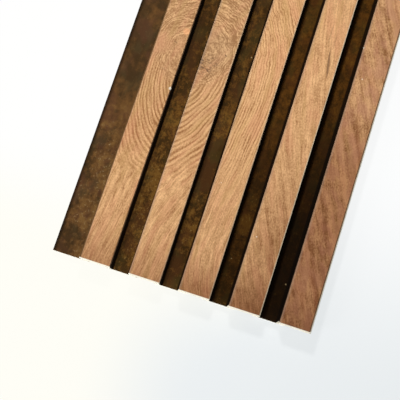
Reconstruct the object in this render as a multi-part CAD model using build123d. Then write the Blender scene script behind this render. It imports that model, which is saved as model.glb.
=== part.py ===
"""Fluted wall panel: an open-backed foam extrusion with a printed wood-grain facing on each rib.

Frame: X runs across the panel, Y along the ribs and Z out from the wall, in millimetres.
The back rests on Z = 0, and the origin is the middle of the back. The flange that the next
panel laps over is on the -X edge, and the rib that laps over it is on the +X edge.
"""

import os

from build123d import *

# Driving dimensions of the panel
PANEL_LENGTH = 300.0
PANEL_THICKNESS = 12.0
RIB_COUNT = 5
RIB_WIDTH = 14.5
GROOVE_WIDTH = 8.8
FLANGE_WIDTH = 14.3

# Walls of the extrusion
FLOOR_THICKNESS = 4.0
LEG_THICKNESS = 3.0
CROWN_THICKNESS = 3.2

# Printed facing, wrapped over the shoulders of a rib and flush with its sides
FACING_THICKNESS = 0.3
FACING_RETURN = 1.0
CROWN_CORNER_RADIUS = 0.15

# Lap joint: the flange slides under the short leg of the neighbour's last rib
LAP_CLEARANCE = 0.3

# Corner radii of the extrusion
GROOVE_ROOT_RADIUS = 0.6
CHANNEL_ROOF_RADIUS = 1.2
BACK_EDGE_RADIUS = 0.4
FLANGE_EDGE_RADIUS = 1.0

# Derived sizes
PITCH = RIB_WIDTH + GROOVE_WIDTH
PANEL_WIDTH = FLANGE_WIDTH + RIB_COUNT * RIB_WIDTH + (RIB_COUNT - 1) * GROOVE_WIDTH
LEFT_EDGE = -PANEL_WIDTH / 2
BODY_TOP = PANEL_THICKNESS - FACING_THICKNESS
FACING_FOOT = PANEL_THICKNESS - FACING_RETURN
SHOULDER_RADIUS = CROWN_CORNER_RADIUS + FACING_THICKNESS
CHANNEL_ROOF = BODY_TOP - CROWN_THICKNESS
CHANNEL_WIDTH = RIB_WIDTH - 2 * LEG_THICKNESS
SHORT_LEG_FOOT = FLOOR_THICKNESS + LAP_CLEARANCE


def rib_left(number):
    """X of the left side of a rib, counted from 0 at the flange."""
    return LEFT_EDGE + FLANGE_WIDTH + number * PITCH


def block(left, low, width, height):
    """A rectangle of the section, placed by its lower left corner."""
    return Pos(left, low) * Rectangle(width, height, align=(Align.MIN, Align.MIN))


def rounded(section, radius, corners):
    """The section with the given corners, as (x, z) points, filleted."""
    picked = [section.vertices().sort_by_distance((x, z, 0))[0] for x, z in corners]
    return fillet(picked, radius)


def along_ribs(section):
    """A solid of the panel's length, centred on Y = 0, from a section drawn as (x, z)."""
    return extrude(Plane.XZ * section, PANEL_LENGTH / 2, both=True)


def facing_section(left):
    """Wood-grain film over one rib: flat on top, turned down over both shoulders."""
    outer = block(left, FACING_FOOT, RIB_WIDTH, FACING_RETURN)
    outer = rounded(outer, SHOULDER_RADIUS, [(left, PANEL_THICKNESS), (left + RIB_WIDTH, PANEL_THICKNESS)])
    return outer - crown_section(left)


def crown_section(left):
    """Top of a rib inside its facing, inset by the film on the top and on both sides."""
    inset_left = left + FACING_THICKNESS
    inset_width = RIB_WIDTH - 2 * FACING_THICKNESS
    crown = block(inset_left, FACING_FOOT, inset_width, BODY_TOP - FACING_FOOT)
    shoulders = [(inset_left, BODY_TOP), (inset_left + inset_width, BODY_TOP)]
    return rounded(crown, CROWN_CORNER_RADIUS, shoulders)


def body_section():
    """The extrusion: a floor strip, ribs that are hollow from behind, and a short last leg."""
    last_left = rib_left(RIB_COUNT - 1)
    section = block(LEFT_EDGE, 0, PANEL_WIDTH, FLOOR_THICKNESS)
    for number in range(RIB_COUNT):
        section += block(rib_left(number), 0, RIB_WIDTH, FACING_FOOT)
        section += crown_section(rib_left(number))
    for number in range(RIB_COUNT):
        section -= block(rib_left(number) + LEG_THICKNESS, 0, CHANNEL_WIDTH, CHANNEL_ROOF)
    section -= block(last_left + RIB_WIDTH - LEG_THICKNESS, 0, LEG_THICKNESS, SHORT_LEG_FOOT)
    return round_body_corners(section)


def round_body_corners(section):
    """Extrusion radii: groove roots, channel roofs, back edges, flange edge and short leg."""
    lefts = [rib_left(number) for number in range(RIB_COUNT)]
    rights = [left + RIB_WIDTH for left in lefts]
    channel_lefts = [left + LEG_THICKNESS for left in lefts]
    channel_rights = [right - LEG_THICKNESS for right in rights]
    roots = [(x, FLOOR_THICKNESS) for x in lefts + rights[:-1]]
    roofs = [(x, CHANNEL_ROOF) for x in channel_lefts + channel_rights]
    back_edges = [(x, 0) for x in [LEFT_EDGE] + channel_lefts + channel_rights[:-1]]
    leg_edges = [(x, SHORT_LEG_FOOT) for x in (channel_rights[-1], rights[-1])]
    section = rounded(section, GROOVE_ROOT_RADIUS, roots)
    section = rounded(section, CHANNEL_ROOF_RADIUS, roofs)
    section = rounded(section, BACK_EDGE_RADIUS, back_edges + leg_edges)
    return rounded(section, FLANGE_EDGE_RADIUS, [(LEFT_EDGE, FLOOR_THICKNESS)])


def main():
    """Writes one STEP file for the extrusion and one for each facing."""
    os.makedirs("parts", exist_ok=True)
    export_step(along_ribs(body_section()), "parts/panel_body.step")
    for number in range(RIB_COUNT):
        facing = along_ribs(facing_section(rib_left(number)))
        export_step(facing, f"parts/rib_facing_{number + 1}.step")


main()
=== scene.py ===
"""Looks of a fluted wall panel: wood-grain film on the ribs, bronze film on the extrusion, pale foam.

The scene is in metres in the panel's own frame: X across the panel, Y along the ribs, Z out of the wall.
Finishes work in millimetres on Object coordinates, so the grain runs on from rib to rib. A pair of
numbers is where a fade starts and where it ends, unless its comment says otherwise.
"""

import math
from typing import NamedTuple

import bpy
from mathutils import Matrix, Vector


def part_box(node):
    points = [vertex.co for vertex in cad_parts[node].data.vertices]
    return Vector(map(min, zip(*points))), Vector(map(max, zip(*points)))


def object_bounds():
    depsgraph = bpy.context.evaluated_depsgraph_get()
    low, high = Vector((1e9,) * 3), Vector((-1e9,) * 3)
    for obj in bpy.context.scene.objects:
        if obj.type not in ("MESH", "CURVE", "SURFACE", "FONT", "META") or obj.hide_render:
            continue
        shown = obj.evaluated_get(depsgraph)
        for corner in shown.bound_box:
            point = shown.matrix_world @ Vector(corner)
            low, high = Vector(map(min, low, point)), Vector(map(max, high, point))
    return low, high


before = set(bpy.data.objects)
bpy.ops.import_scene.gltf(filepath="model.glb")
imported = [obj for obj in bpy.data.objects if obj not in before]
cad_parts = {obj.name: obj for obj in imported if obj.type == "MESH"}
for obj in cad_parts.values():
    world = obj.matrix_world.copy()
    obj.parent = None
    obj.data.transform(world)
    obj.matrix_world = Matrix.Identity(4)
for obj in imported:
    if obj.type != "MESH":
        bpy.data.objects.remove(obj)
CAD_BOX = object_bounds()

# Sizes of the panel, read from the frame, in millimetres
MM = 1000.0
FACING_NODES = sorted(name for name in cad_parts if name.startswith("rib_facing_"))
FIRST_FACING = [[value * MM for value in corner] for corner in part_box(FACING_NODES[0])]
SECOND_FACING = [[value * MM for value in corner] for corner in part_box(FACING_NODES[1])]
FIRST_RIB_LEFT = FIRST_FACING[0][0]
RIB_WIDTH = FIRST_FACING[1][0] - FIRST_RIB_LEFT
PITCH = SECOND_FACING[0][0] - FIRST_RIB_LEFT
HALF_LENGTH = CAD_BOX[1][1] * MM

# Top of the groove floors, and how far to the left of a rib its column starts, in millimetres
FLOOR_TOP = 4.0
SIDE_SLACK = 0.05

# Camera of the photograph, measured from the middle of the panel's near end, in metres
FRONT_END = Vector((0.0, CAD_BOX[0][1], 0.0))
CAMERA_PLACE = FRONT_END + Vector((0.01982, -0.00891, 0.34934))
CAMERA_TARGET = FRONT_END + Vector((-0.00338, 0.04142, 0.012))
CAMERA_ROLL_DEG = 18.06
FOCAL_PIXELS = 760.0
IMAGE_PIXELS = 400.0
SENSOR_WIDTH = 36.0
NEAREST_SEEN = 0.01

# Studio, in metres and watts
KEY_PLACE = (-0.045, 0.010, 0.24)
KEY_AIM = (0.0, -0.085, 0.0)
KEY_SIZE = 0.03
KEY_POWER = 0.52
FILL_PLACE = (-0.24, -0.36, 0.24)
FILL_SIZE = 0.16
FILL_POWER = 0.62
FRONT_PLACE = (0.02, -0.60, 0.05)
FRONT_AIM = (0.0, -0.15, 0.006)
BACK_PLACE = (-0.05, 0.60, 0.05)
BACK_AIM = (0.0, 0.15, 0.006)
END_LAMP_SIZE = 0.2
END_LAMP_POWER = 2.0
SKY_STRENGTH = 0.14
FLOOR_SIZE = 8.0


class Value:
    """A number that changes over a surface. Arithmetic on it adds Math nodes to its finish."""

    def __init__(self, finish, socket):
        self.finish = finish
        self.socket = socket

    def math(self, operation, *others):
        settings = {"operation": operation}
        sockets = dict(enumerate((self,) + others))
        return self.finish.node("ShaderNodeMath", settings, sockets)

    def __add__(self, other):
        return self.math("ADD", other)

    __radd__ = __add__

    def __mul__(self, other):
        return self.math("MULTIPLY", other)

    __rmul__ = __mul__

    def __sub__(self, other):
        return self.math("SUBTRACT", other)

    def __rsub__(self, other):
        return (self * -1.0) + other

    def __truediv__(self, other):
        return self.math("DIVIDE", other)

    def __pow__(self, other):
        return self.math("POWER", other)

    def __abs__(self):
        return self.math("ABSOLUTE")

    def root(self):
        return self.math("SQRT")

    def at_least(self, other):
        return self.math("MAXIMUM", other)

    def at_most(self, other):
        return self.math("MINIMUM", other)

    def above(self, edge):
        """1 where the value is over the edge, else 0."""
        return self.math("GREATER_THAN", edge)

    def below(self, edge):
        """1 where the value is under the edge, else 0."""
        return self.math("LESS_THAN", edge)

    def past(self, start, ease):
        """How far the value is past a start, 0 before it, with a soft turn as wide as the ease."""
        return (self - start).math("SMOOTH_MAX", 0.0, ease)

    def wave(self):
        """A cosine of the value, in turns, from 0 to 1."""
        return (self * math.tau).math("COSINE") * 0.5 + 0.5

    def fade(self, start, end):
        """0 at start and before it, 1 at end and beyond it, with a smooth step between."""
        settings = {"interpolation_type": "SMOOTHSTEP", "clamp": True}
        sockets = {"Value": self, "From Min": start, "From Max": end}
        return self.finish.node("ShaderNodeMapRange", settings, sockets)

    def blend(self, other, share):
        """This value where the share is 0, the other where it is 1."""
        return self + (other - self) * share


class Cloud(NamedTuple):
    """Soft noise: its features per millimetre each way, a seed of its own, and how fine it gets."""

    across: float
    along: float
    seed: float
    detail: float = 2.0
    roughness: float = 0.5


class Strength(NamedTuple):
    """How strongly a layer shows: everywhere, and what each named zone adds to that."""

    base: float
    zones: dict

    def at(self, shares):
        """The strength at a place, from the share that each zone has there."""
        return sum(shares[zone] * extra for zone, extra in self.zones.items()) + self.base


# Rays that see the background, and the sockets of a Mix node that take and give colours
SEEN_RAYS = ("Is Camera Ray", "Is Glossy Ray", "Is Transmission Ray")
MIX_FACTOR = 0
MIX_FIRST = 6
MIX_SECOND = 7
MIX_RESULT = 2


class Finish:
    """The nodes of a material or of the sky, and the ways to add to them."""

    def __init__(self, owner):
        self.owner = owner
        self.owner.use_nodes = True
        self.tree = self.owner.node_tree
        self.tree.nodes.clear()

    def node(self, kind, settings=None, sockets=None, output=0):
        """Adds a node with its settings, then its sockets' values or links, and returns one output."""
        made = self.tree.nodes.new(kind)
        for name, value in (settings or {}).items():
            setattr(made, name, value)
        for key, value in (sockets or {}).items():
            if isinstance(value, Value):
                self.tree.links.new(value.socket, made.inputs[key])
            else:
                made.inputs[key].default_value = value
        return Value(self, made.outputs[output]) if made.outputs else None

    def place(self):
        """X, Y and Z of the surface in millimetres."""
        coordinates = self.node("ShaderNodeTexCoord", output="Object")
        settings = {"operation": "SCALE"}
        scaled = self.node("ShaderNodeVectorMath", settings, {"Vector": coordinates, "Scale": MM})
        return [self.node("ShaderNodeSeparateXYZ", sockets={0: scaled}, output=axis) for axis in "XYZ"]

    def cloud(self, kind, x, y, deeper=0.0):
        """Noise from 0 to 1 over two values, with a third that may change it slowly."""
        parts = {"X": x * kind.across, "Y": y * kind.along, "Z": deeper + kind.seed}
        vector = self.node("ShaderNodeCombineXYZ", sockets=parts)
        sockets = {"Vector": vector, "Scale": 1.0, "Detail": kind.detail, "Roughness": kind.roughness}
        return self.node("ShaderNodeTexNoise", sockets=sockets)

    def swing(self, kind, x, y, deeper=0.0):
        """The same noise, centred on 0."""
        return self.cloud(kind, x, y, deeper) - 0.5

    def mix(self, share, first, second, blend="MIX"):
        """A colour that goes from the first to the second as the share goes from 0 to 1."""
        settings = {"data_type": "RGBA", "blend_type": blend, "clamp_factor": True}
        sockets = {MIX_FACTOR: share, MIX_FIRST: first, MIX_SECOND: second}
        return self.node("ShaderNodeMix", settings, sockets, output=MIX_RESULT)

    def lay(self, tone, layers, blend="MIX"):
        """A tone with more colours laid over it in turn, each by its own share."""
        for share, layer in layers:
            tone = self.mix(share, tone, layer, blend)
        return tone

    def bump(self, height, strength, distance):
        sockets = {"Height": height, "Strength": strength, "Distance": distance}
        return self.node("ShaderNodeBump", sockets=sockets)

    def shade(self, sockets):
        """Ends the material in one surface shader."""
        surface = self.node("ShaderNodeBsdfPrincipled", sockets=sockets)
        self.node("ShaderNodeOutputMaterial", sockets={"Surface": surface})
        return self.owner

    def seen(self):
        """1 for what the camera sees directly, in a glossy surface or through glass, else 0."""
        camera, glossy, through = [self.node("ShaderNodeLightPath", output=name) for name in SEEN_RAYS]
        return camera.at_least(glossy).at_least(through)


# Curve between a screen's colour values and linear light
SCREEN_TOP = 255.0
SCREEN_TOE = 0.04045
SCREEN_TOE_SLOPE = 12.92
SCREEN_OFFSET = 0.055
SCREEN_POWER = 2.4


def colour(red, green, blue):
    """A colour given as it looks on a screen, 0 to 255, turned into the linear values that nodes take."""

    def linear(value):
        share = value / SCREEN_TOP
        if share <= SCREEN_TOE:
            return share / SCREEN_TOE_SLOPE
        return ((share + SCREEN_OFFSET) / (1 + SCREEN_OFFSET)) ** SCREEN_POWER

    return (linear(red), linear(green), linear(blue), 1.0)


# Soft edges of round marks and of strokes, as shares of their size, and half the width of a stroke's tip
SPOT_EDGE = (1.3, 0.6)
STROKE_EDGE = (1.3, 0.5)
STROKE_TIP = 0.01


def from_rib_left(x):
    """How far a place is to the right of its own rib's left side; less than 0 on the flange."""
    column = ((x - FIRST_RIB_LEFT + SIDE_SLACK) / PITCH).math("FLOOR").at_least(0.0)
    return x - FIRST_RIB_LEFT - column * PITCH


def to_rib_left(x):
    """How far a place is from the left side of the nearest rib."""
    from_left = from_rib_left(x)
    return (PITCH - from_left).at_most(abs(from_left))


def spot(x, y, place):
    """1 inside a round mark, 0 outside it, with a soft edge."""
    centre_x, centre_y, radius = place
    across = x - centre_x
    along = y - centre_y
    outside, inside = [(radius * share) ** 2 for share in SPOT_EDGE]
    return (across * across + along * along).fade(outside, inside)


def spots(x, y, places):
    """Several round marks together."""
    return sum(spot(x, y, place) for place in places)


def stroke(x, y, start, end, width, strength):
    """A short line that thins out at its two ends."""
    step = Vector(end) - Vector(start)
    span = step.length
    along = (x - start[0]) * (step.x / span) + (y - start[1]) * (step.y / span)
    across = (x - start[0]) * (step.y / span) - (y - start[1]) * (step.x / span)
    from_middle = (along / span - 0.5) * 2.0
    half_width = (1 - from_middle * from_middle).at_least(0.0) * (width / 2) + STROKE_TIP
    return (abs(across) / half_width).fade(*STROKE_EDGE) * abs(from_middle).below(1.0) * strength


# Where the grain of one rib gives way to that of the next, in millimetres across the panel
ARCH_AXIS = -28.0
KNOT_RIBS_END = -4.5
MIDDLE_RIB_END = 19.0
LAST_RIB_START = 42.0

# Arches round the knot on ribs 1 and 2; the places of spread, recovery and curl are a start and an ease
ARCH_MIDDLE = -28.0
ARCH_HALF = 26.0
ARCH_REACH = (66.0, 84.0)
ARCH_SOFTENING = (50.0, 66.0)
FIRST_RIB_ROUNDING = 3.0
FIRST_RIB_STRETCH = 0.48
FIRST_RIB_DENSITY = 1.32
SECOND_RIB_ROUNDING = 7.0
SECOND_RIB_DENSITY = 0.92
SECOND_RIB_OPENING = 0.24
OPENING_PLACE = (14.0, 32.0)
SECOND_RIB_LEAN = 0.15
SECOND_RIB_SPREAD = 0.47
SPREAD_PLACE = (9.0, 12.0)
SECOND_RIB_RECOVERY = 0.20
RECOVERY_PLACE = (33.0, 8.0)
SECOND_RIB_CURL = 0.35
CURL_PLACE = (-122.0, 14.0)
STRAIGHT_LEAN = -0.13
STRAIGHT_DENSITY = 1.1

# Straighter grain on the other ribs: a curve of the third order on rib 3, and a lean on ribs 4 and 5.
# The bend of rib 4 is a start and an ease.
MIDDLE_RIB_START = -80.0
MIDDLE_RIB_SCALE = 60.0
MIDDLE_RIB_TURN = (-0.15, 0.0725, 0.1733)
MIDDLE_RIB_TURN_END = 1.0
MIDDLE_RIB_RUN_END = 1.6
MIDDLE_RIB_RUN_SLOPE = 0.55
MIDDLE_RIB_DENSITY = 1.3
FOURTH_RIB_LEAN = 0.21
FOURTH_RIB_BEND = (75.0, 20.0)
LAST_RIB_LEAN = 0.45
LAST_RIBS_DENSITY = 1.1


def grain_fields(x, y):
    """Two distances, in millimetres, that stay the same along each line of the grain.

    The first follows the arches on ribs 1 and 2, the second their straight grain near the end. Both are
    the same on the other ribs.
    """
    on_first_rib = x.below(ARCH_AXIS)
    on_knot_ribs = x.below(KNOT_RIBS_END)
    on_last_ribs = x.above(MIDDLE_RIB_END)
    on_last_rib = x.above(LAST_RIB_START)
    beyond = (abs(y - ARCH_MIDDLE) - ARCH_HALF).at_least(0.0)
    across = x - ARCH_AXIS
    stretched = beyond * FIRST_RIB_STRETCH
    first_arches = (across * across + stretched * stretched + FIRST_RIB_ROUNDING ** 2).root()
    density = SECOND_RIB_DENSITY - beyond.fade(*OPENING_PLACE) * SECOND_RIB_OPENING
    drop = beyond * SECOND_RIB_LEAN + beyond.past(*SPREAD_PLACE) * SECOND_RIB_SPREAD
    drop = drop - beyond.past(*RECOVERY_PLACE) * SECOND_RIB_RECOVERY
    second_arches = (across * across + SECOND_RIB_ROUNDING ** 2).root() * density + drop
    arches = second_arches.blend(first_arches * FIRST_RIB_DENSITY, on_first_rib)
    curl = y.past(*CURL_PLACE) * (1 - on_first_rib) * SECOND_RIB_CURL
    straight = (x + y * STRAIGHT_LEAN - curl) * STRAIGHT_DENSITY

    station = (y - MIDDLE_RIB_START) / MIDDLE_RIB_SCALE
    turn = station.at_most(MIDDLE_RIB_TURN_END)
    first, second, third = MIDDLE_RIB_TURN
    swing = (turn * third + second) * turn * turn + turn * first
    swing = swing + (station.at_most(MIDDLE_RIB_RUN_END) - turn) * MIDDLE_RIB_RUN_SLOPE
    middle = (x + swing * MIDDLE_RIB_SCALE) * MIDDLE_RIB_DENSITY
    lean = on_last_rib * (LAST_RIB_LEAN - FOURTH_RIB_LEAN) + FOURTH_RIB_LEAN
    bend = (y * -1.0).past(*FOURTH_RIB_BEND) * FOURTH_RIB_LEAN * (1 - on_last_rib)
    last = (x + y * lean - bend) * LAST_RIBS_DENSITY

    others = middle.blend(last, on_last_ribs)
    return others.blend(arches, on_knot_ribs), others.blend(straight, on_knot_ribs)


# Knot between ribs 1 and 2, with a centre for each of them, in millimetres
FIRST_KNOT = (-29.7, -45.7)
SECOND_KNOT = (-25.0, -42.5)
KNOT_HEART = 0.5
KNOT_SQUEEZE = 0.85
KNOT_WARP_X = Cloud(0.16, 0.16, 9.0, 3.0)
KNOT_WARP_Y = Cloud(0.16, 0.16, 19.0, 3.0)
KNOT_WARP_REACH = 5.0
KNOT_EDGE = Cloud(0.15, 0.15, 11.0)
KNOT_EDGE_REACH = 9.0
KNOT_LOW_END = (-60.0, -54.0)
KNOT_HIGH_END = (4.0, -8.0)
KNOT_FLANK = 8.7
KNOT_FLANK_SLOPE = 0.8

# Arcs, rings and bands of the knot
KNOT_ARCS = Cloud(2.3, 2.3, 44.0, 2.0, 0.6)
KNOT_ARC_RATE = 1.0
KNOT_ARC_STRENGTH = 2.0
KNOT_ARC_SECOND_RIB = 0.7
KNOT_RING_PERIOD = 1.0
KNOT_RING_DRIFT = Cloud(1.5, 1.5, 0.0)
KNOT_RING_DRIFT_RATE = 0.2
KNOT_RING_DRIFT_REACH = 1.4
KNOT_RING_PATCHES = Cloud(2.2, 2.2, 40.0, 1.0)
KNOT_RING_PATCH_RATE = 0.14
KNOT_RING_PATCH_EDGE = (0.36, 0.54)
KNOT_RING_START = (7.0, 12.0)
KNOT_RING_STRENGTH = 0.60
KNOT_BAND_PERIOD = 2.1
KNOT_BAND_LEAN = 0.12
KNOT_BAND_DRIFT = Cloud(0.20, 0.30, 41.0, 3.0)
KNOT_BAND_DRIFT_REACH = 1.8
KNOT_BAND_CENTRE = 0.45
KNOT_BAND_RISE = (-34.0, -27.0)
KNOT_BAND_STRENGTH = 0.42

# Mottle, crumbs, dashes and hatching of the knot, and its pale ring
KNOT_MOTTLE_FLAT = Cloud(0.32, 1.0, 7.0, 3.0, 0.65)
KNOT_MOTTLE_SLANT = Cloud(0.30, 0.70, 17.0, 3.0, 0.65)
KNOT_MOTTLE_RISE = (-42.0, -28.0)
KNOT_MOTTLE_LOW = 0.66
KNOT_MOTTLE_GROWTH = 0.99
KNOT_CRUMBS = Cloud(1.25, 1.25, 33.0, 2.0, 0.6)
KNOT_CRUMB_STRENGTH = 0.6
KNOT_DASHES = Cloud(0.42, 1.25, 31.0, 3.0)
KNOT_DASH_EDGE = (0.51, 0.58)
KNOT_HATCH = Cloud(0.22, 1.35, 37.0)
KNOT_HATCH_RISE = (-47.0, -53.0)
KNOT_HATCH_STRENGTH = 2.4
FIRST_PALE_RING = 11.0
SECOND_PALE_RING = 12.2
PALE_RING_EDGE = (1.0, 0.4)
PALE_RING_RISE = (-46.0, -38.0)
PALE_RING_STRENGTH = 0.30
KNOT_DEPTH = 0.10
KNOT_DEPTH_SECOND_RIB = 0.13

# Round places in and near the knot: X, Y and radius
DASHED_PLACE = (-20.5, -47.2, 5.6)
DARK_PLACE = (-12.5, -31.0, 4.5)
DARK_PLACE_STRENGTH = 0.10
CALM_PLACE = (-43.5, -43.5, 5.0)
CALM_PLACE_LOSS = 0.5
CALM_PLACE_PINK = 0.25
GREY_PLACE = (-20.0, -39.0, 9.0)
GREY_PLACE_STRENGTH = 0.12
ORANGE_PLACE = (-34.0, -34.7, 1.6)
ORANGE_PLACE_STRENGTH = 0.5


def knot_figure(film, x, y):
    """Rings, bands and rays round the knot, with mottle above it, where they lie, and dashes beside it."""
    on_first_rib = x.below(ARCH_AXIS)
    on_second_rib = 1 - on_first_rib
    centre_x = on_first_rib * (FIRST_KNOT[0] - SECOND_KNOT[0]) + SECOND_KNOT[0]
    centre_y = on_first_rib * (FIRST_KNOT[1] - SECOND_KNOT[1]) + SECOND_KNOT[1]
    across = x - centre_x + film.swing(KNOT_WARP_X, x, y) * KNOT_WARP_REACH
    along = (y - centre_y) * KNOT_SQUEEZE + film.swing(KNOT_WARP_Y, x, y) * KNOT_WARP_REACH
    distance = (across * across + along * along).root() + KNOT_HEART
    ray_x = across / distance
    ray_y = along / distance

    arcs = film.swing(KNOT_ARCS, ray_x, ray_y, distance * KNOT_ARC_RATE)
    drift = film.cloud(KNOT_RING_DRIFT, ray_x, ray_y, distance * KNOT_RING_DRIFT_RATE)
    rings = (distance / KNOT_RING_PERIOD + drift * KNOT_RING_DRIFT_REACH).wave() - 0.5
    ringed = film.cloud(KNOT_RING_PATCHES, ray_x, ray_y, distance * KNOT_RING_PATCH_RATE)
    ringed = ringed.fade(*KNOT_RING_PATCH_EDGE) * distance.fade(*KNOT_RING_START)
    banding = film.cloud(KNOT_BAND_DRIFT, x, y) * KNOT_BAND_DRIFT_REACH
    banding = banding + (y + x * KNOT_BAND_LEAN) / KNOT_BAND_PERIOD
    bands = (banding.wave() - KNOT_BAND_CENTRE) * y.fade(*KNOT_BAND_RISE) * on_second_rib
    slanted = film.swing(KNOT_MOTTLE_SLANT, x + y, x - y)
    mottle = film.swing(KNOT_MOTTLE_FLAT, x, y).blend(slanted, on_first_rib)
    crumbs = film.swing(KNOT_CRUMBS, x, y)
    dashes = film.cloud(KNOT_DASHES, x, y).fade(*KNOT_DASH_EDGE) * spot(x, y, DASHED_PLACE)
    hatch = film.swing(KNOT_HATCH, x - y, x + y) * y.fade(*KNOT_HATCH_RISE) * on_second_rib
    pale_radius = on_first_rib * (FIRST_PALE_RING - SECOND_PALE_RING) + SECOND_PALE_RING
    pale_ring = abs(distance - pale_radius).fade(*PALE_RING_EDGE) * y.fade(*PALE_RING_RISE)

    figure = arcs * (on_second_rib * KNOT_ARC_SECOND_RIB + KNOT_ARC_STRENGTH)
    figure = figure + rings * ringed * KNOT_RING_STRENGTH + bands * KNOT_BAND_STRENGTH
    figure = figure + mottle * (y.fade(*KNOT_MOTTLE_RISE) * KNOT_MOTTLE_GROWTH + KNOT_MOTTLE_LOW)
    figure = figure + crumbs * KNOT_CRUMB_STRENGTH + hatch * KNOT_HATCH_STRENGTH
    figure = figure + spot(x, y, DARK_PLACE) * DARK_PLACE_STRENGTH - pale_ring * PALE_RING_STRENGTH
    figure = figure * (1 - spot(x, y, CALM_PLACE) * CALM_PLACE_LOSS)
    figure = figure + KNOT_DEPTH + on_second_rib * KNOT_DEPTH_SECOND_RIB
    flank = (KNOT_FLANK - abs(x - ARCH_AXIS)) * KNOT_FLANK_SLOPE
    ragged = y + flank + film.swing(KNOT_EDGE, x, y) * KNOT_EDGE_REACH
    zone = ragged.fade(*KNOT_LOW_END) * y.fade(*KNOT_HIGH_END) * x.below(KNOT_RIBS_END)
    return figure, zone, dashes * zone


# How the grain wanders, and the zones where it swirls or breaks up, in millimetres
SWERVE = Cloud(1 / 38.0, 1 / 55.0, 3.0)
SWERVE_REACH = 6.0
WAVER = Cloud(1 / 5.0, 1 / 9.0, 13.0, 3.0)
WAVER_REACH = 1.2
FRONT_EDGE = Cloud(1 / 5.0, 1 / 5.0, 23.0, 3.0)
FRONT_EDGE_REACH = 20.0
SWIRL = Cloud(1 / 4.5, 1 / 6.0, 43.0, 2.0)
SWIRL_REACH = 4.5
SWIRL_MIDDLE = -103.0
SWIRL_HALF = 16.0
MIDDLE_RIB_SWIRL = 0.7
MIDDLE_RIB_SWIRL_RISE = (-66.0, -40.0)
MIDDLE_RIB_FRONT = (-80.0, -98.0)

# Growth lines
RING_PERIOD = 1.6
LINE_DRIFT = Cloud(0.35, 0.02, 1.0)
LINE_DRIFT_REACH = 1.4
LINE_SHARPNESS = 2.2
LINE_SOFTENING = 1.1
LINE_BREAKS = Cloud(0.7, 0.10, 5.0)
LINE_BREAK_EDGE = (0.22, 0.60)
LINE_CENTRE = 0.16
LINE_STRENGTH = 0.75
SWIRL_LINE_LOSS = 0.25
MIDDLE_RIB_LINES = 0.9
MIDDLE_FRONT_LINE_LOSS = 0.75
LAST_RIBS_LINES = 0.2

# Fibre, streaks, pores and blotches of the print, and how strongly they show
FIBRE = Cloud(1.7, 0.14, 2.0, 3.0, 0.65)
FIBRE_STRENGTH = Strength(1.4, {"front": 0.5, "last_ribs": -0.2, "last_rib": -0.3})
STREAKS = Cloud(0.75, 0.055, 45.0, 2.0, 0.55)
STREAK_STRENGTH = Strength(0.3, {"front": 1.1, "last_ribs_front": -0.4, "last_ribs": 0.2})
WIDE_STREAKS = Cloud(0.30, 0.03, 47.0, 3.0, 0.55)
WIDE_STREAK_STRENGTH = Strength(1.3, {"last_rib": 1.8})
PORES = Cloud(3.2, 0.42, 25.0, 1.0)
PORE_EDGE = (0.56, 0.72)
PORE_SHARE = Strength(0.4, {"front": 0.6})
PORE_LAST_RIBS_LOSS = 0.55
PORE_STRENGTH = 0.22
PORE_CENTRE = 0.02
BROAD = Cloud(0.28, 0.022, 4.0, 3.0, 0.55)
BROAD_STRENGTH = Strength(0.8, {"last_ribs": 0.1})
BLOTCH = Cloud(1 / 3.2, 1 / 4.6, 27.0, 3.0)
BLOTCH_STRENGTH = Strength(0.3, {"last_rib": 0.9, "last_ribs": 0.5, "front": 0.4, "swirl": 0.9})
SPECKLE = Cloud(1.6, 1.1, 6.0, 1.0)
SPECKLE_STRENGTH = Strength(1.1, {"knot": 0.4, "last_ribs": 0.2, "last_rib": 0.4})
ARCH_DEPTH = Strength(0.0, {"knot_ribs": 0.10, "first_rib": 0.08})
ARCH_DEPTH_RISE = (-104.0, -76.0)


def grain_zones(film, x, y):
    """The share that each zone of the print has at a place."""
    knot_ribs = x.below(KNOT_RIBS_END)
    last_ribs = x.above(MIDDLE_RIB_END)
    middle_rib = 1 - knot_ribs - last_ribs
    from_arches = abs(y - ARCH_MIDDLE)
    torn = film.swing(FRONT_EDGE, x, y) * FRONT_EDGE_REACH
    front = (from_arches + torn).fade(*ARCH_REACH)
    swirl = abs(y - SWIRL_MIDDLE).fade(SWIRL_HALF, 0.0) * knot_ribs
    swirl = swirl + middle_rib * y.fade(*MIDDLE_RIB_SWIRL_RISE) * MIDDLE_RIB_SWIRL
    return {
        "first_rib": x.below(ARCH_AXIS),
        "knot_ribs": knot_ribs,
        "middle_rib": middle_rib,
        "last_ribs": last_ribs,
        "last_rib": x.above(LAST_RIB_START),
        "front": front,
        "last_ribs_front": last_ribs * front,
        "middle_rib_front": (y + torn).fade(*MIDDLE_RIB_FRONT),
        "softened": from_arches.fade(*ARCH_SOFTENING) * knot_ribs,
        "swirl": swirl,
    }


def growth_lines(film, arched, y, zones):
    """Dark lines of the grain, softer and more broken away from the knot."""
    drift = film.cloud(LINE_DRIFT, arched, y) * LINE_DRIFT_REACH
    sharpness = LINE_SHARPNESS - zones["softened"] * LINE_SOFTENING
    lines = (arched / RING_PERIOD + drift).wave() ** sharpness
    broken = film.cloud(LINE_BREAKS, arched, y).fade(*LINE_BREAK_EDGE)
    share = zones["knot_ribs"] * (1 - zones["front"]) * (1 - zones["swirl"] * SWIRL_LINE_LOSS)
    middle = zones["middle_rib"] * (1 - zones["middle_rib_front"] * MIDDLE_FRONT_LINE_LOSS)
    share = share + middle * MIDDLE_RIB_LINES + zones["last_ribs"] * LAST_RIBS_LINES
    return (lines * broken - LINE_CENTRE) * share * LINE_STRENGTH


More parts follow.
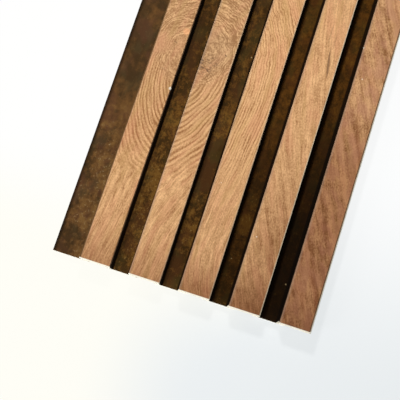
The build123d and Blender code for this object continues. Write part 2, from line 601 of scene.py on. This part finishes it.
def print_depth(film, x, y):
    """How dark the print is, about -0.5 to 1, its grain field, the share of the knot and its dashes."""
    zones = grain_zones(film, x, y)
    bend = film.swing(SWERVE, x, y) * SWERVE_REACH + film.swing(WAVER, x, y) * WAVER_REACH
    bend = bend + film.swing(SWIRL, x, y) * zones["swirl"] * SWIRL_REACH
    arched, straight = grain_fields(x + bend, y)
    knot, in_knot, dashes = knot_figure(film, x, y)
    zones["knot"] = in_knot

    fibre = film.swing(FIBRE, arched, y).blend(film.swing(FIBRE, straight, y), zones["front"])
    broad = film.swing(BROAD, arched, y).blend(film.swing(BROAD, straight, y), zones["front"])
    streaks = film.swing(STREAKS, straight, y)
    wide_streaks = film.swing(WIDE_STREAKS, straight, y) * zones["last_ribs"]
    pores = film.cloud(PORES, straight, y).fade(*PORE_EDGE) * PORE_SHARE.at(zones)
    pores = pores * (1 - zones["last_ribs"] * PORE_LAST_RIBS_LOSS) * PORE_STRENGTH - PORE_CENTRE

    clear = growth_lines(film, arched, y, zones) + fibre * FIBRE_STRENGTH.at(zones)
    clear = clear + pores + streaks * STREAK_STRENGTH.at(zones)
    depth = clear * (1 - in_knot) + knot * in_knot
    depth = depth + wide_streaks * WIDE_STREAK_STRENGTH.at(zones) + broad * BROAD_STRENGTH.at(zones)
    depth = depth + film.swing(SPECKLE, x, y) * SPECKLE_STRENGTH.at(zones)
    depth = depth + film.swing(BLOTCH, x, y) * BLOTCH_STRENGTH.at(zones)
    depth = depth + ARCH_DEPTH.at(zones) * y.fade(*ARCH_DEPTH_RISE)
    return depth, straight, in_knot, dashes


# Colours of the print, and how strongly and where each one shows
WOOD_LIGHT = colour(233, 184, 132)
WOOD_DARK = colour(148, 101, 61)
DEPTH_GAIN = 0.8
DEPTH_CENTRE = 0.44
FIRST_RIB_DEPTH = 0.03
WOOD_PINK = colour(206, 142, 106)
PINK_CLOUD = Cloud(0.20, 0.04, 8.0)
PINK_EDGE = (0.46, 0.66)
PINK_STRENGTH = 0.32
WOOD_OLIVE = colour(180, 142, 86)
OLIVE_CLOUD = Cloud(0.22, 0.035, 15.0)
OLIVE_EDGE = (0.50, 0.70)
OLIVE_STRENGTH = 0.34
WOOD_GREY = colour(152, 130, 100)
ARCH_GREY = 0.10
ARCH_GREY_RISE = (-88.0, -62.0)
KNOT_GREY = 0.10
WOOD_ORANGE = colour(236, 168, 118)
WOOD_ROSE = colour(202, 148, 116)
ROSE_DAPPLE = Cloud(1 / 6.0, 1 / 10.0, 49.0, 3.0)
ROSE_EDGE = (0.42, 0.60)
ROSE_STRENGTH = 0.5
WOOD_STAIN = colour(160, 104, 72)
STAIN_CLOUD = Cloud(1 / 4.0, 1 / 6.0, 21.0)
STAIN_EDGE = (0.38, 0.66)
STAIN_RISE = (-122.0, -150.0)
STAIN_STRENGTH = 0.16

# Darker print on the last rib, painted shade towards the front on the ribs on the right, and painted shade
# near the front end
WOOD_SHADE = colour(200, 184, 176)
LAST_RIB_DARKER_PRINT = 0.41
LAST_RIB_PAINTED_SHADE_GROWTH = 0.53
LAST_RIB_PAINTED_SHADE_RISE = (-38.0, -80.0)
LAST_RIB_BAND = 0.16
LAST_RIB_BAND_START = (-66.0, -84.0)
LAST_RIB_BAND_END = (-114.0, -96.0)
RIGHT_PAINTED_SHADE = 0.78
RIGHT_PAINTED_SHADE_X = (12.0, 40.0)
RIGHT_PAINTED_SHADE_RISE = (-48.0, -143.0)
FRONT_PAINTED_SHADE = 0.60
FRONT_PAINTED_SHADE_RISE = (-129.0, -151.0)
FRONT_PAINTED_SHADE_RIGHT = 0.42
FRONT_PAINTED_SHADE_RIGHT_X = (-20.0, 10.0)
FRONT_PAINTED_SHADE_LAST_RIB_LOSS = 0.55

# Cracks and short marks: two ends, width and strength
WOOD_CRACK = colour(112, 82, 58)
DASH_STRENGTH = 0.6
CRACKS = (
    ((32.1, -22.5), (34.6, -37.3), 1.15, 0.72),
    ((30.3, -10.0), (30.4, -21.0), 0.5, 0.30),
    ((33.2, -14.0), (33.3, -23.0), 0.5, 0.30),
)
KNOT_MARKS = (
    ((-23.6, -45.0), (-21.9, -46.2), 0.8, 0.85),
    ((-23.2, -46.8), (-21.2, -47.6), 0.7, 0.80),
    ((-22.8, -48.6), (-20.4, -49.6), 0.8, 0.80),
    ((-20.2, -49.0), (-17.8, -50.6), 0.8, 0.80),
    ((-13.6, -40.0), (-12.2, -40.8), 0.7, 0.80),
    ((-38.2, -40.7), (-36.2, -41.6), 0.6, 0.65),
    ((-40.6, -54.8), (-37.0, -55.5), 0.8, 0.30),
)

# Edges and cut ends of the film, measured from the rib's side or from the cut, in millimetres
FILM_GREY = colour(150, 132, 114)
LEFT_GREY_EDGE = (1.3, 0.3)
LEFT_GREY_STRENGTH = 0.36
FILM_SHADE = colour(74, 56, 42)
LEFT_DARK_EDGE = (0.2, 0.05)
LEFT_DARK_STRENGTH = 0.8
LAST_DARK_EDGE = (1.1, 0.77)
LAST_DARK_STRENGTH = 0.9
BRONZE_LAP = colour(98, 70, 38)
FIRST_RIB_LAP = (0.7, 0.5)
FIRST_RIB_SHADE = (0.5, 0.25)
FIRST_RIB_SHADE_STRENGTH = 0.85
# Pale film with a painted highlight, on the right edges of the ribs
FILM_PALE_AND_HIGHLIGHT = colour(218, 202, 172)
PALE_HIGHLIGHT_EDGE = (0.6, 0.3)
PALE_HIGHLIGHT_EDGE_LEFT = 0.25
PALE_HIGHLIGHT_EDGE_GROWTH = 0.6
PALE_HIGHLIGHT_EDGE_X = (0.0, 38.0)
# Pale flecks, and painted highlight along the cut ends and the last rib's right edge
PALE_CHIP_AND_HIGHLIGHT = colour(255, 250, 232)
CUT_HIGHLIGHT_EDGE = (0.70, 0.42)
CUT_HIGHLIGHT_STRENGTH = 0.95
LAST_RIB_HIGHLIGHT_EDGE = (0.38, 0.228)
LAST_RIB_HIGHLIGHT_STRENGTH = 0.9
LIGHT_SPOT_STRENGTH = 0.5
LIGHT_SPOTS = (
    (-32.6, -63.2, 0.7),
    (50.2, -32.2, 0.3),
    (25.8, -116.6, 0.32),
    (3.3, -98.1, 0.2),
    (46.7, -17.4, 0.25),
)

# Gloss and relief of the print, with the relief's height in metres
WOOD_ROUGHNESS = 0.78
WOOD_ROUGHNESS_GAIN = 0.1
WOOD_SPECULAR = 0.1
WOOD_RELIEF = 0.2
WOOD_RELIEF_HEIGHT = 0.0001


def wood_tone(film, x, y):
    """Colour of the print before its shade and its edges, how dark it is, and the knot's dashes."""
    depth, straight, in_knot, dashes = print_depth(film, x, y)
    pink = film.cloud(PINK_CLOUD, straight, y).fade(*PINK_EDGE) * PINK_STRENGTH
    olive = film.cloud(OLIVE_CLOUD, straight, y).fade(*OLIVE_EDGE) * OLIVE_STRENGTH
    grey = x.below(KNOT_RIBS_END) * y.fade(*ARCH_GREY_RISE) * ARCH_GREY + in_knot * KNOT_GREY
    rose = film.cloud(ROSE_DAPPLE, straight, y).fade(*ROSE_EDGE) * x.above(LAST_RIB_START)
    stain = film.cloud(STAIN_CLOUD, x, y).fade(*STAIN_EDGE) * y.fade(*STAIN_RISE)
    darkness = depth * DEPTH_GAIN + DEPTH_CENTRE + x.below(ARCH_AXIS) * FIRST_RIB_DEPTH
    layers = (
        (pink + spot(x, y, CALM_PLACE) * CALM_PLACE_PINK, WOOD_PINK),
        (olive, WOOD_OLIVE),
        (grey + spot(x, y, GREY_PLACE) * GREY_PLACE_STRENGTH, WOOD_GREY),
        (spot(x, y, ORANGE_PLACE) * ORANGE_PLACE_STRENGTH, WOOD_ORANGE),
        (rose * ROSE_STRENGTH, WOOD_ROSE),
        (stain * STAIN_STRENGTH, WOOD_STAIN),
    )
    return film.lay(film.mix(darkness, WOOD_LIGHT, WOOD_DARK), layers), depth, dashes


def wood_shade(x, y):
    """Shares of the shade on the print: darker print and painted shade on the ribs on the right, and
    painted shade near the front end.
    """
    last_rib = x.above(LAST_RIB_START)
    # Darker print on the last rib, with painted shade growing towards its front end
    darker = last_rib * (y.fade(*LAST_RIB_PAINTED_SHADE_RISE) * LAST_RIB_PAINTED_SHADE_GROWTH + LAST_RIB_DARKER_PRINT)
    # Painted shade towards the front of the ribs on the right
    right = x.fade(*RIGHT_PAINTED_SHADE_X) * (1 - last_rib) * y.fade(*RIGHT_PAINTED_SHADE_RISE)
    band = last_rib * y.fade(*LAST_RIB_BAND_START) * y.fade(*LAST_RIB_BAND_END)
    darker = darker + right * RIGHT_PAINTED_SHADE + band * LAST_RIB_BAND
    # Painted shade near the front end, stronger to the right
    front_painted_shade = x.fade(*FRONT_PAINTED_SHADE_RIGHT_X) * FRONT_PAINTED_SHADE_RIGHT + FRONT_PAINTED_SHADE - last_rib * FRONT_PAINTED_SHADE_LAST_RIB_LOSS
    return (darker, WOOD_SHADE), (y.fade(*FRONT_PAINTED_SHADE_RISE) * front_painted_shade, WOOD_SHADE)


def film_edges(x, y):
    """Shares and colours of the film's edges: grey and dark ones, a pale one partly painted highlight,
    painted highlight at the cuts, and flecks.
    """
    on_first_rib = x.below(ARCH_AXIS)
    last_rib = x.above(LAST_RIB_START)
    from_left = from_rib_left(x)
    from_right = RIB_WIDTH - from_left
    # Pale film with a painted highlight along the ribs' right edges, stronger towards the right
    pale = x.fade(*PALE_HIGHLIGHT_EDGE_X) * PALE_HIGHLIGHT_EDGE_GROWTH + PALE_HIGHLIGHT_EDGE_LEFT
    # Painted highlight along the cut ends and the last rib's right edge
    bare = (HALF_LENGTH - abs(y)).fade(*CUT_HIGHLIGHT_EDGE) * CUT_HIGHLIGHT_STRENGTH
    bare = bare + from_right.fade(*LAST_RIB_HIGHLIGHT_EDGE) * last_rib * LAST_RIB_HIGHLIGHT_STRENGTH
    return (
        (from_left.fade(*LEFT_GREY_EDGE) * LEFT_GREY_STRENGTH, FILM_GREY),
        (from_left.fade(*LEFT_DARK_EDGE) * LEFT_DARK_STRENGTH, FILM_SHADE),
        (from_right.fade(*LAST_DARK_EDGE) * last_rib * LAST_DARK_STRENGTH, FILM_SHADE),
        (from_left.fade(*FIRST_RIB_LAP) * on_first_rib, BRONZE_LAP),
        (from_right.fade(*FIRST_RIB_SHADE) * on_first_rib * FIRST_RIB_SHADE_STRENGTH, FILM_SHADE),
        (from_right.fade(*PALE_HIGHLIGHT_EDGE) * (1 - on_first_rib) * pale, FILM_PALE_AND_HIGHLIGHT),
        (spots(x, y, LIGHT_SPOTS) * LIGHT_SPOT_STRENGTH + bare, PALE_CHIP_AND_HIGHLIGHT),
    )


def wood_film():
    """Printed film: growth lines round a knot, fine fibre, soft streaks, painted shade, and pale
    turned-down edges partly painted highlight.
    """
    film = Finish(bpy.data.materials.new("wood_grain_film"))
    x, y = film.place()[:2]
    tone, depth, dashes = wood_tone(film, x, y)
    tone = film.lay(tone, wood_shade(x, y), blend="MULTIPLY")
    cracks = sum(stroke(x, y, *mark) for mark in CRACKS + KNOT_MARKS)
    tone = film.mix(cracks + dashes * DASH_STRENGTH, tone, WOOD_CRACK)
    return film.shade({
        "Base Color": film.lay(tone, film_edges(x, y)),
        "Roughness": depth * WOOD_ROUGHNESS_GAIN + WOOD_ROUGHNESS,
        "Specular IOR Level": WOOD_SPECULAR,
        "Normal": film.bump(depth * -1.0, WOOD_RELIEF, WOOD_RELIEF_HEIGHT),
    })


# Mottle of the bronze film: how light it is, and how much that changes from place to place
BRONZE_LEVEL = 0.47
BRONZE_CLOUDS = Cloud(1 / 7.0, 1 / 9.0, 1.0, 4.0, 0.6)
CLOUD_STRENGTH = Strength(1.4, {"right": -0.6, "flange": -0.35})
BRONZE_SMEAR = Cloud(0.42, 0.32, 28.0, 3.0, 0.6)
SMEAR_STRENGTH = 1.4
BRONZE_GRIT = Cloud(1.5, 1.1, 3.0, 2.0, 0.7)
GRIT_STRENGTH = Strength(0.85, {"flange": -0.4})
COARSENESS = Strength(1.1, {"flange": -0.35, "far_flange": -0.45, "right": -0.45})
SMOOTHER_X = (0.0, 20.0)
FLANGE_END = -47.0
FAR_FLANGE = (-100.0, -70.0)
FLANGE_SLOPE = 0.17
FLANGE_SLOPE_LEFT = -0.10
FLANGE_SLOPE_X = (-60.0, -51.0)
FLANGE_SLOPE_EASE = (-95.0, -70.0)
FLANGE_SLOPE_LOSS = 0.7

# Lighter and darker patches of the film: X, Y, radius and strength
TONE_PATCHES = (
    (-53.0, -84.0, 8.0, 0.10),
    (-52.0, -130.0, 7.0, 0.12),
    (-54.0, -111.0, 9.0, 0.08),
    (-27.0, -74.0, 6.0, 0.08),
    (-27.0, -108.0, 11.0, 0.18),
    (-4.5, -70.0, 7.0, 0.16),
    (-4.5, -117.0, 6.0, 0.10),
    (19.0, -112.0, 4.5, 0.42),
    (-27.0, -35.0, 13.0, -0.20),
    (-56.0, -50.0, 15.0, -0.12),
    (-4.5, -89.0, 12.0, -0.32),
    (-4.5, -139.0, 9.0, -0.18),
    (19.0, -85.0, 9.0, -0.10),
    (19.0, -140.0, 9.0, -0.10),
    (42.0, -70.0, 20.0, -0.10),
    (-57.0, -142.0, 6.0, -0.08),
    (-54.0, -31.0, 14.0, -0.10),
)

# Colours of the bronze film, and how strongly and where each one shows
BRONZE_DARK = colour(62, 44, 23)
BRONZE_MIDDLE = colour(95, 65, 34)
MIDDLE_LEVEL = (0.26, 0.60)
BRONZE_RED = colour(88, 56, 38)
BRONZE_RUST = Cloud(1 / 11.0, 1 / 15.0, 8.0, 3.0)
RUST_EDGE = (0.46, 0.62)
RUST_STRENGTH = 0.5
BRONZE_GREEN = colour(76, 66, 40)
BRONZE_MOSS = Cloud(1 / 8.0, 1 / 14.0, 18.0, 3.0)
MOSS_EDGE = (0.50, 0.64)
MOSS_STRENGTH = Strength(0.4, {"flange": -0.12})
BRONZE_GOLD = colour(118, 86, 46)
GOLD_LEVEL = (0.52, 0.86)
GOLD_STRENGTH = 0.9
BRONZE_SPECK = colour(170, 146, 104)
BRONZE_SPECKS = Cloud(1.4, 1.4, 5.0, 1.0)
SPECK_EDGE = (0.72, 0.79)
SPECK_STRENGTH = 0.25
BRONZE_FLECKS = Cloud(0.95, 0.75, 38.0, 2.0, 0.6)
FLECK_EDGE = (0.58, 0.68)
FLECK_RISE = (-70.0, -110.0)
FLECK_LEVEL = (0.36, 0.60)
FLECK_STRENGTH = 0.32
GROOVE_WARMTH = colour(255, 246, 202)
GROOVE_WARMTH_X = (-44.0, -30.0)
DEEP_WARMTH = colour(255, 241, 200)
DEEP_WARMTH_X = (-12.0, 26.0)


def bronze_level(film, x, y, unfolded, zones):
    """How light the bronze is, from about 0 to 1, with the clouds and the grit that change it."""
    clouds = film.cloud(BRONZE_CLOUDS, unfolded, y)
    grit = film.swing(BRONZE_GRIT, unfolded, y)
    patches = sum(spot(x, y, place) * strength for *place, strength in TONE_PATCHES)
    slope = (x.fade(*FLANGE_SLOPE_X) * FLANGE_SLOPE + FLANGE_SLOPE_LEFT) * zones["flange"]
    slope = slope * (1 - y.fade(*FLANGE_SLOPE_EASE) * FLANGE_SLOPE_LOSS)
    fine = film.swing(BRONZE_SMEAR, unfolded, y) * SMEAR_STRENGTH + grit * GRIT_STRENGTH.at(zones)
    level = (clouds - 0.5) * CLOUD_STRENGTH.at(zones) + BRONZE_LEVEL + patches + slope
    return level + fine * COARSENESS.at(zones), clouds, grit


def bronze_tone(film, x, y, z):
    """Mottled antique bronze: clouds of dark and gold with flecks and specks, and its clouds and grit."""
    unfolded = x + z - FLOOR_TOP
    flange = x.below(FLANGE_END)
    zones = {"flange": flange, "far_flange": flange * y.fade(*FAR_FLANGE), "right": x.fade(*SMOOTHER_X)}
    level, clouds, grit = bronze_level(film, x, y, unfolded, zones)
    rust = film.cloud(BRONZE_RUST, unfolded, y).fade(*RUST_EDGE)
    moss = film.cloud(BRONZE_MOSS, unfolded, y).fade(*MOSS_EDGE)
    specks = film.cloud(BRONZE_SPECKS, unfolded, y).fade(*SPECK_EDGE)
    flecks = film.cloud(BRONZE_FLECKS, unfolded, y).fade(*FLECK_EDGE)
    flecks = flecks * y.fade(*FLECK_RISE) * level.fade(*FLECK_LEVEL)
    layers = (
        (rust * RUST_STRENGTH, BRONZE_RED),
        (moss * MOSS_STRENGTH.at(zones), BRONZE_GREEN),
        (level.fade(*GOLD_LEVEL) * GOLD_STRENGTH, BRONZE_GOLD),
        (flecks * FLECK_STRENGTH + specks * SPECK_STRENGTH, BRONZE_SPECK),
    )
    warmth = (
        (x.fade(*GROOVE_WARMTH_X), GROOVE_WARMTH),
        (x.fade(*DEEP_WARMTH_X), DEEP_WARMTH),
    )
    tone = film.lay(film.mix(level.fade(*MIDDLE_LEVEL), BRONZE_DARK, BRONZE_MIDDLE), layers)
    return film.lay(tone, warmth, blend="MULTIPLY"), clouds, grit


# Painted shade in the grooves, painted shadow at the groove roots and on the flange's rounded edge, in
# millimetres
BRONZE_SHADE = colour(10, 5, 2)
LAST_SIDE = 60.5
GROOVE_PAINTED_SHADE = 0.15
GROOVE_PAINTED_SHADE_GROWTH = 0.75
GROOVE_PAINTED_SHADE_X = (-12.0, 44.0)
GROOVE_PAINTED_SHADE_RISE = (-15.0, -120.0)
FAR_GROOVE_DARKENING = 0.22
FAR_GROOVE_DARKENING_RISE = (-80.0, -35.0)
GROOVE_START = -0.2
ROOT_SHADOW_REACH = 1.03
ROOT_SHADOW_GROWTH = 0.0129
ROOT_SHADOW_EDGE = (0.35, -0.35)
ROOT_SHADOW_STRENGTH = 0.95
SHADOW_FRINGE_EDGE = (1.9, 1.1)
SHADOW_FRINGE_STRENGTH = 0.28
LEFT_ROOT_SHADOW_EDGE = (1.5, 0.8)
LEFT_ROOT_SHADOW_STRENGTH = 0.9
FLANGE_WALL = -46.5
FLANGE_WALL_FOOT = (4.6, 6.5)
FLANGE_WALL_LIGHT = 0.7
FLANGE_EDGE_SHADE = (-58.8, -60.3)
FLANGE_EDGE_SHADE_STRENGTH = 0.7
GROOVE_SPECK_STRENGTH = 0.7
GROOVE_SPECKS = (
    (-1.9, -34.8, 0.34),
    (44.9, -132.2, 0.32),
    (-52.4, -95.4, 0.24),
    (18.0, -128.6, 0.22),
)


def groove_shade(x, y, z):
    """Shares and colours of what lies on the bronze: painted shade and shadow in the grooves and on the
    flange's edge, and light specks.
    """
    past_right = from_rib_left(x) - RIB_WIDTH
    between_ribs = x.below(LAST_SIDE)
    # Painted shade in the grooves, growing towards the right and the front end; past the flange they are
    # also darker towards the far end
    groove_darkening = x.fade(*GROOVE_PAINTED_SHADE_X) * (y.fade(*GROOVE_PAINTED_SHADE_RISE) * GROOVE_PAINTED_SHADE_GROWTH + GROOVE_PAINTED_SHADE)
    groove_darkening = groove_darkening.at_least(x.above(FLANGE_END) * y.fade(*FAR_GROOVE_DARKENING_RISE) * FAR_GROOVE_DARKENING) * between_ribs
    # Painted shadow of each rib on its right side and the floor beside it, wider towards the right, with a
    # softer fringe
    reach = past_right - (x * ROOT_SHADOW_GROWTH + ROOT_SHADOW_REACH)
    in_groove = past_right.above(GROOVE_START) * between_ribs
    root = reach.fade(*ROOT_SHADOW_EDGE) * in_groove * ROOT_SHADOW_STRENGTH
    shadow_fringe = reach.fade(*SHADOW_FRINGE_EDGE) * in_groove * SHADOW_FRINGE_STRENGTH
    # Painted shade on the flange's rounded left edge
    flange_edge_shade = x.fade(*FLANGE_EDGE_SHADE) * FLANGE_EDGE_SHADE_STRENGTH
    # Painted shadow at the foot of each rib's left side, lighter up the first rib's left side
    lit_wall = x.below(FLANGE_WALL) * z.fade(*FLANGE_WALL_FOOT) * FLANGE_WALL_LIGHT
    left_root_shadow = to_rib_left(x).fade(*LEFT_ROOT_SHADOW_EDGE) * (1 - lit_wall) * LEFT_ROOT_SHADOW_STRENGTH
    dark = root.at_least(shadow_fringe).at_least(flange_edge_shade).at_least(left_root_shadow)
    specks = spots(x, y, GROOVE_SPECKS) * GROOVE_SPECK_STRENGTH
    return (groove_darkening, BRONZE_SHADE), (dark, BRONZE_SHADE), (specks, BRONZE_SPECK)


# Bare foam, and how deep the film and the cuts go, in millimetres
FOAM = colour(250, 244, 226)
FOAM_SHADE = colour(206, 196, 172)
FOAM_CELLS = Cloud(3.2, 3.2, 0.0, 2.0, 0.65)
FOAM_CELL_EDGE = (0.35, 0.65)
FILM_LINE = 0.18
FILM_DEPTH = 0.35
BACK_DEPTH = 0.45
END_DEPTH = 0.04
CHIP_SIZE = 0.75
CHIP_SLOPE = 0.7

# Gloss and relief of the extrusion, with the relief's height in metres
BODY_ROUGHNESS = 0.7
CLOUD_ROUGHNESS = 0.15
FOAM_ROUGHNESS = 0.15
BODY_SPECULAR = 0.04
GRIT_RELIEF = 0.35
BODY_RELIEF = 0.35
BODY_RELIEF_HEIGHT = 0.00015


def bare_foam(x, y, z):
    """1 where foam lies bare: inside the ribs, on the back, on the cut ends and at chipped corners."""
    into_rib = RIB_WIDTH / 2 - abs(from_rib_left(x) - RIB_WIDTH / 2)
    inside = into_rib.above(FILM_DEPTH)
    behind = z.below(BACK_DEPTH)
    from_end = HALF_LENGTH - abs(y)
    at_end = from_end.below(END_DEPTH)
    film_edge = at_end * (1 - inside) * z.above(FLOOR_TOP - FILM_LINE)
    chipped = (to_rib_left(x) + from_end * CHIP_SLOPE).below(CHIP_SIZE)
    return (inside.at_least(behind).at_least(at_end) * (1 - film_edge)).at_least(chipped)


def body_finish():
    """The extrusion: bronze film on its face, pale foam on the cut ends, the back and in the channels."""
    body = Finish(bpy.data.materials.new("bronze_film_on_foam"))
    x, y, z = body.place()
    bronze, clouds, grit = bronze_tone(body, x, y, z)
    bronze = body.lay(bronze, groove_shade(x, y, z))
    cells = body.cloud(FOAM_CELLS, x, y, z * FOAM_CELLS.across)
    foam = body.mix(cells.fade(*FOAM_CELL_EDGE), FOAM_SHADE, FOAM)
    foam_here = bare_foam(x, y, z)
    height = foam_here * cells + (1 - foam_here) * grit * GRIT_RELIEF
    return body.shade({
        "Base Color": body.mix(foam_here, bronze, foam),
        "Roughness": foam_here * FOAM_ROUGHNESS + clouds * CLOUD_ROUGHNESS + BODY_ROUGHNESS,
        "Specular IOR Level": BODY_SPECULAR,
        "Normal": body.bump(height, BODY_RELIEF, BODY_RELIEF_HEIGHT),
    })


# Table, in millimetres: painted light on the left and far right, painted shade low in the middle, even
# white far away.
# The place of the painted shade is given by its X and Y.
TABLE_WHITE = colour(250, 250, 250)
TABLE_LEFT = colour(255, 255, 254)
TABLE_PAINTED_WARM_LIGHT = colour(255, 254, 246)
TABLE_PAINTED_SHADE = colour(236, 241, 243)
TABLE_COOL = colour(254, 255, 255)
TABLE_FAR_WHITE = colour(248, 250, 250)
TABLE_PAINTED_SHADE_PLACE = (40.0, -190.0)
TABLE_PAINTED_SHADE_REACH = (76.0, 16.0)
TABLE_PAINTED_SHADE_RIGHT = (20.0, 60.0)
TABLE_PAINTED_SHADE_STRETCH = 0.85
TABLE_RISE = (-175.0, -60.0)
TABLE_PAINTED_WARM_LIGHT_END = (-150.0, -100.0)
TABLE_FAR = (235.0, 450.0)
TABLE_LIFT_LEFT = 0.97
TABLE_LIFT_IN_PAINTED_SHADE = 0.82
TABLE_LIFT_RIGHT = 0.91


def table_finish():
    """A white table: what the camera sees is lifted towards white, with painted warm light and painted
    shade, and the shadow stays, faintest where the lift is most.
    """
    table = Finish(bpy.data.materials.new("white_table"))
    x, y = table.place()[:2]
    # Painted shade low in the middle, fading with distance from its place
    across = (x - TABLE_PAINTED_SHADE_PLACE[0]).at_most(0.0)
    along = (y - TABLE_PAINTED_SHADE_PLACE[1]) * (1 - x.fade(*TABLE_PAINTED_SHADE_RIGHT) * TABLE_PAINTED_SHADE_STRETCH)
    rightwards = (across * across + along * along).root().fade(*TABLE_PAINTED_SHADE_REACH)
    upwards = y.fade(*TABLE_RISE)
    far = (x * x + y * y).root().fade(*TABLE_FAR)
    # More lift on the left and far right, painted light that washes out the shadow there
    right_lift = upwards * (TABLE_LIFT_RIGHT - TABLE_LIFT_IN_PAINTED_SHADE) + TABLE_LIFT_IN_PAINTED_SHADE
    lift = rightwards * (right_lift - TABLE_LIFT_LEFT) + TABLE_LIFT_LEFT
    lift = lift.blend(1.0, far)
    # Painted warm light low on the left
    left_tint = table.mix(y.fade(*TABLE_PAINTED_WARM_LIGHT_END), TABLE_PAINTED_WARM_LIGHT, TABLE_LEFT)
    tint = table.mix(rightwards, left_tint, table.mix(upwards, TABLE_PAINTED_SHADE, TABLE_COOL))
    tint = table.mix(far, tint, TABLE_FAR_WHITE)
    white = table.node("ShaderNodeBsdfDiffuse", sockets={"Color": TABLE_WHITE})
    glow = table.node("ShaderNodeEmission", sockets={"Color": tint, "Strength": 1.0})
    lifted = table.node("ShaderNodeMixShader", sockets={0: table.seen() * lift, 1: white, 2: glow})
    table.node("ShaderNodeOutputMaterial", sockets={"Surface": lifted})
    return table.owner


def dress():
    """Gives every node of the panel its finish."""
    wood = wood_film()
    for name in FACING_NODES:
        give_finish(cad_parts[name], wood)
    give_finish(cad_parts["panel_body"], body_finish())


def give_finish(piece, finish):
    piece.data.materials.clear()
    piece.data.materials.append(finish)


def lay_table():
    """The floor that the panel lies on."""
    half = FLOOR_SIZE / 2
    mesh = bpy.data.meshes.new("table")
    corners = [(-half, -half, 0.0), (half, -half, 0.0), (half, half, 0.0), (-half, half, 0.0)]
    mesh.from_pydata(corners, [], [(0, 1, 2, 3)])
    table = bpy.data.objects.new("table", mesh)
    bpy.context.scene.collection.objects.link(table)
    give_finish(table, table_finish())


def add_lamp(name, place, aim, size, power):
    """A soft square lamp that points at its aim."""
    lamp = bpy.data.lights.new(name, "AREA")
    lamp.size = size
    lamp.energy = power
    holder = bpy.data.objects.new(name, lamp)
    holder.location = place
    holder.rotation_euler = (Vector(aim) - Vector(place)).to_track_quat("-Z", "Y").to_euler()
    holder.visible_camera = False
    bpy.context.scene.collection.objects.link(holder)


def light_sky():
    """An even white surround."""
    world = bpy.data.worlds.new("surround")
    sky = Finish(world)
    light = sky.node("ShaderNodeBackground", sockets={"Strength": SKY_STRENGTH})
    backdrop = sky.node("ShaderNodeBackground", sockets={"Color": TABLE_FAR_WHITE, "Strength": 1.0})
    either = sky.node("ShaderNodeMixShader", sockets={0: sky.seen(), 1: light, 2: backdrop})
    sky.node("ShaderNodeOutputWorld", sockets={"Surface": either})
    bpy.context.scene.world = world


def set_camera():
    """The photograph's viewpoint: almost straight down on the near end, turned about the line of sight."""
    forward = (CAMERA_TARGET - CAMERA_PLACE).normalized()
    roll = math.radians(CAMERA_ROLL_DEG)
    right = forward.cross(Vector((-math.sin(roll), math.cos(roll), 0.0))).normalized()
    up = right.cross(forward)
    data = bpy.data.cameras.new("photo_view")
    data.sensor_width = SENSOR_WIDTH
    data.lens = FOCAL_PIXELS / IMAGE_PIXELS * SENSOR_WIDTH
    data.clip_start = NEAREST_SEEN
    camera = bpy.data.objects.new("photo_view", data)
    turn = Matrix((right, up, -forward)).transposed().to_4x4()
    camera.matrix_world = Matrix.Translation(CAMERA_PLACE) @ turn
    bpy.context.scene.collection.objects.link(camera)
    bpy.context.scene.camera = camera


dress()
lay_table()
add_lamp("key_lamp", KEY_PLACE, KEY_AIM, KEY_SIZE, KEY_POWER)
add_lamp("fill_lamp", FILL_PLACE, KEY_AIM, FILL_SIZE, FILL_POWER)
add_lamp("front_lamp", FRONT_PLACE, FRONT_AIM, END_LAMP_SIZE, END_LAMP_POWER)
add_lamp("back_lamp", BACK_PLACE, BACK_AIM, END_LAMP_SIZE, END_LAMP_POWER)
light_sky()
set_camera()
bpy.context.scene.view_settings.view_transform = "Standard"
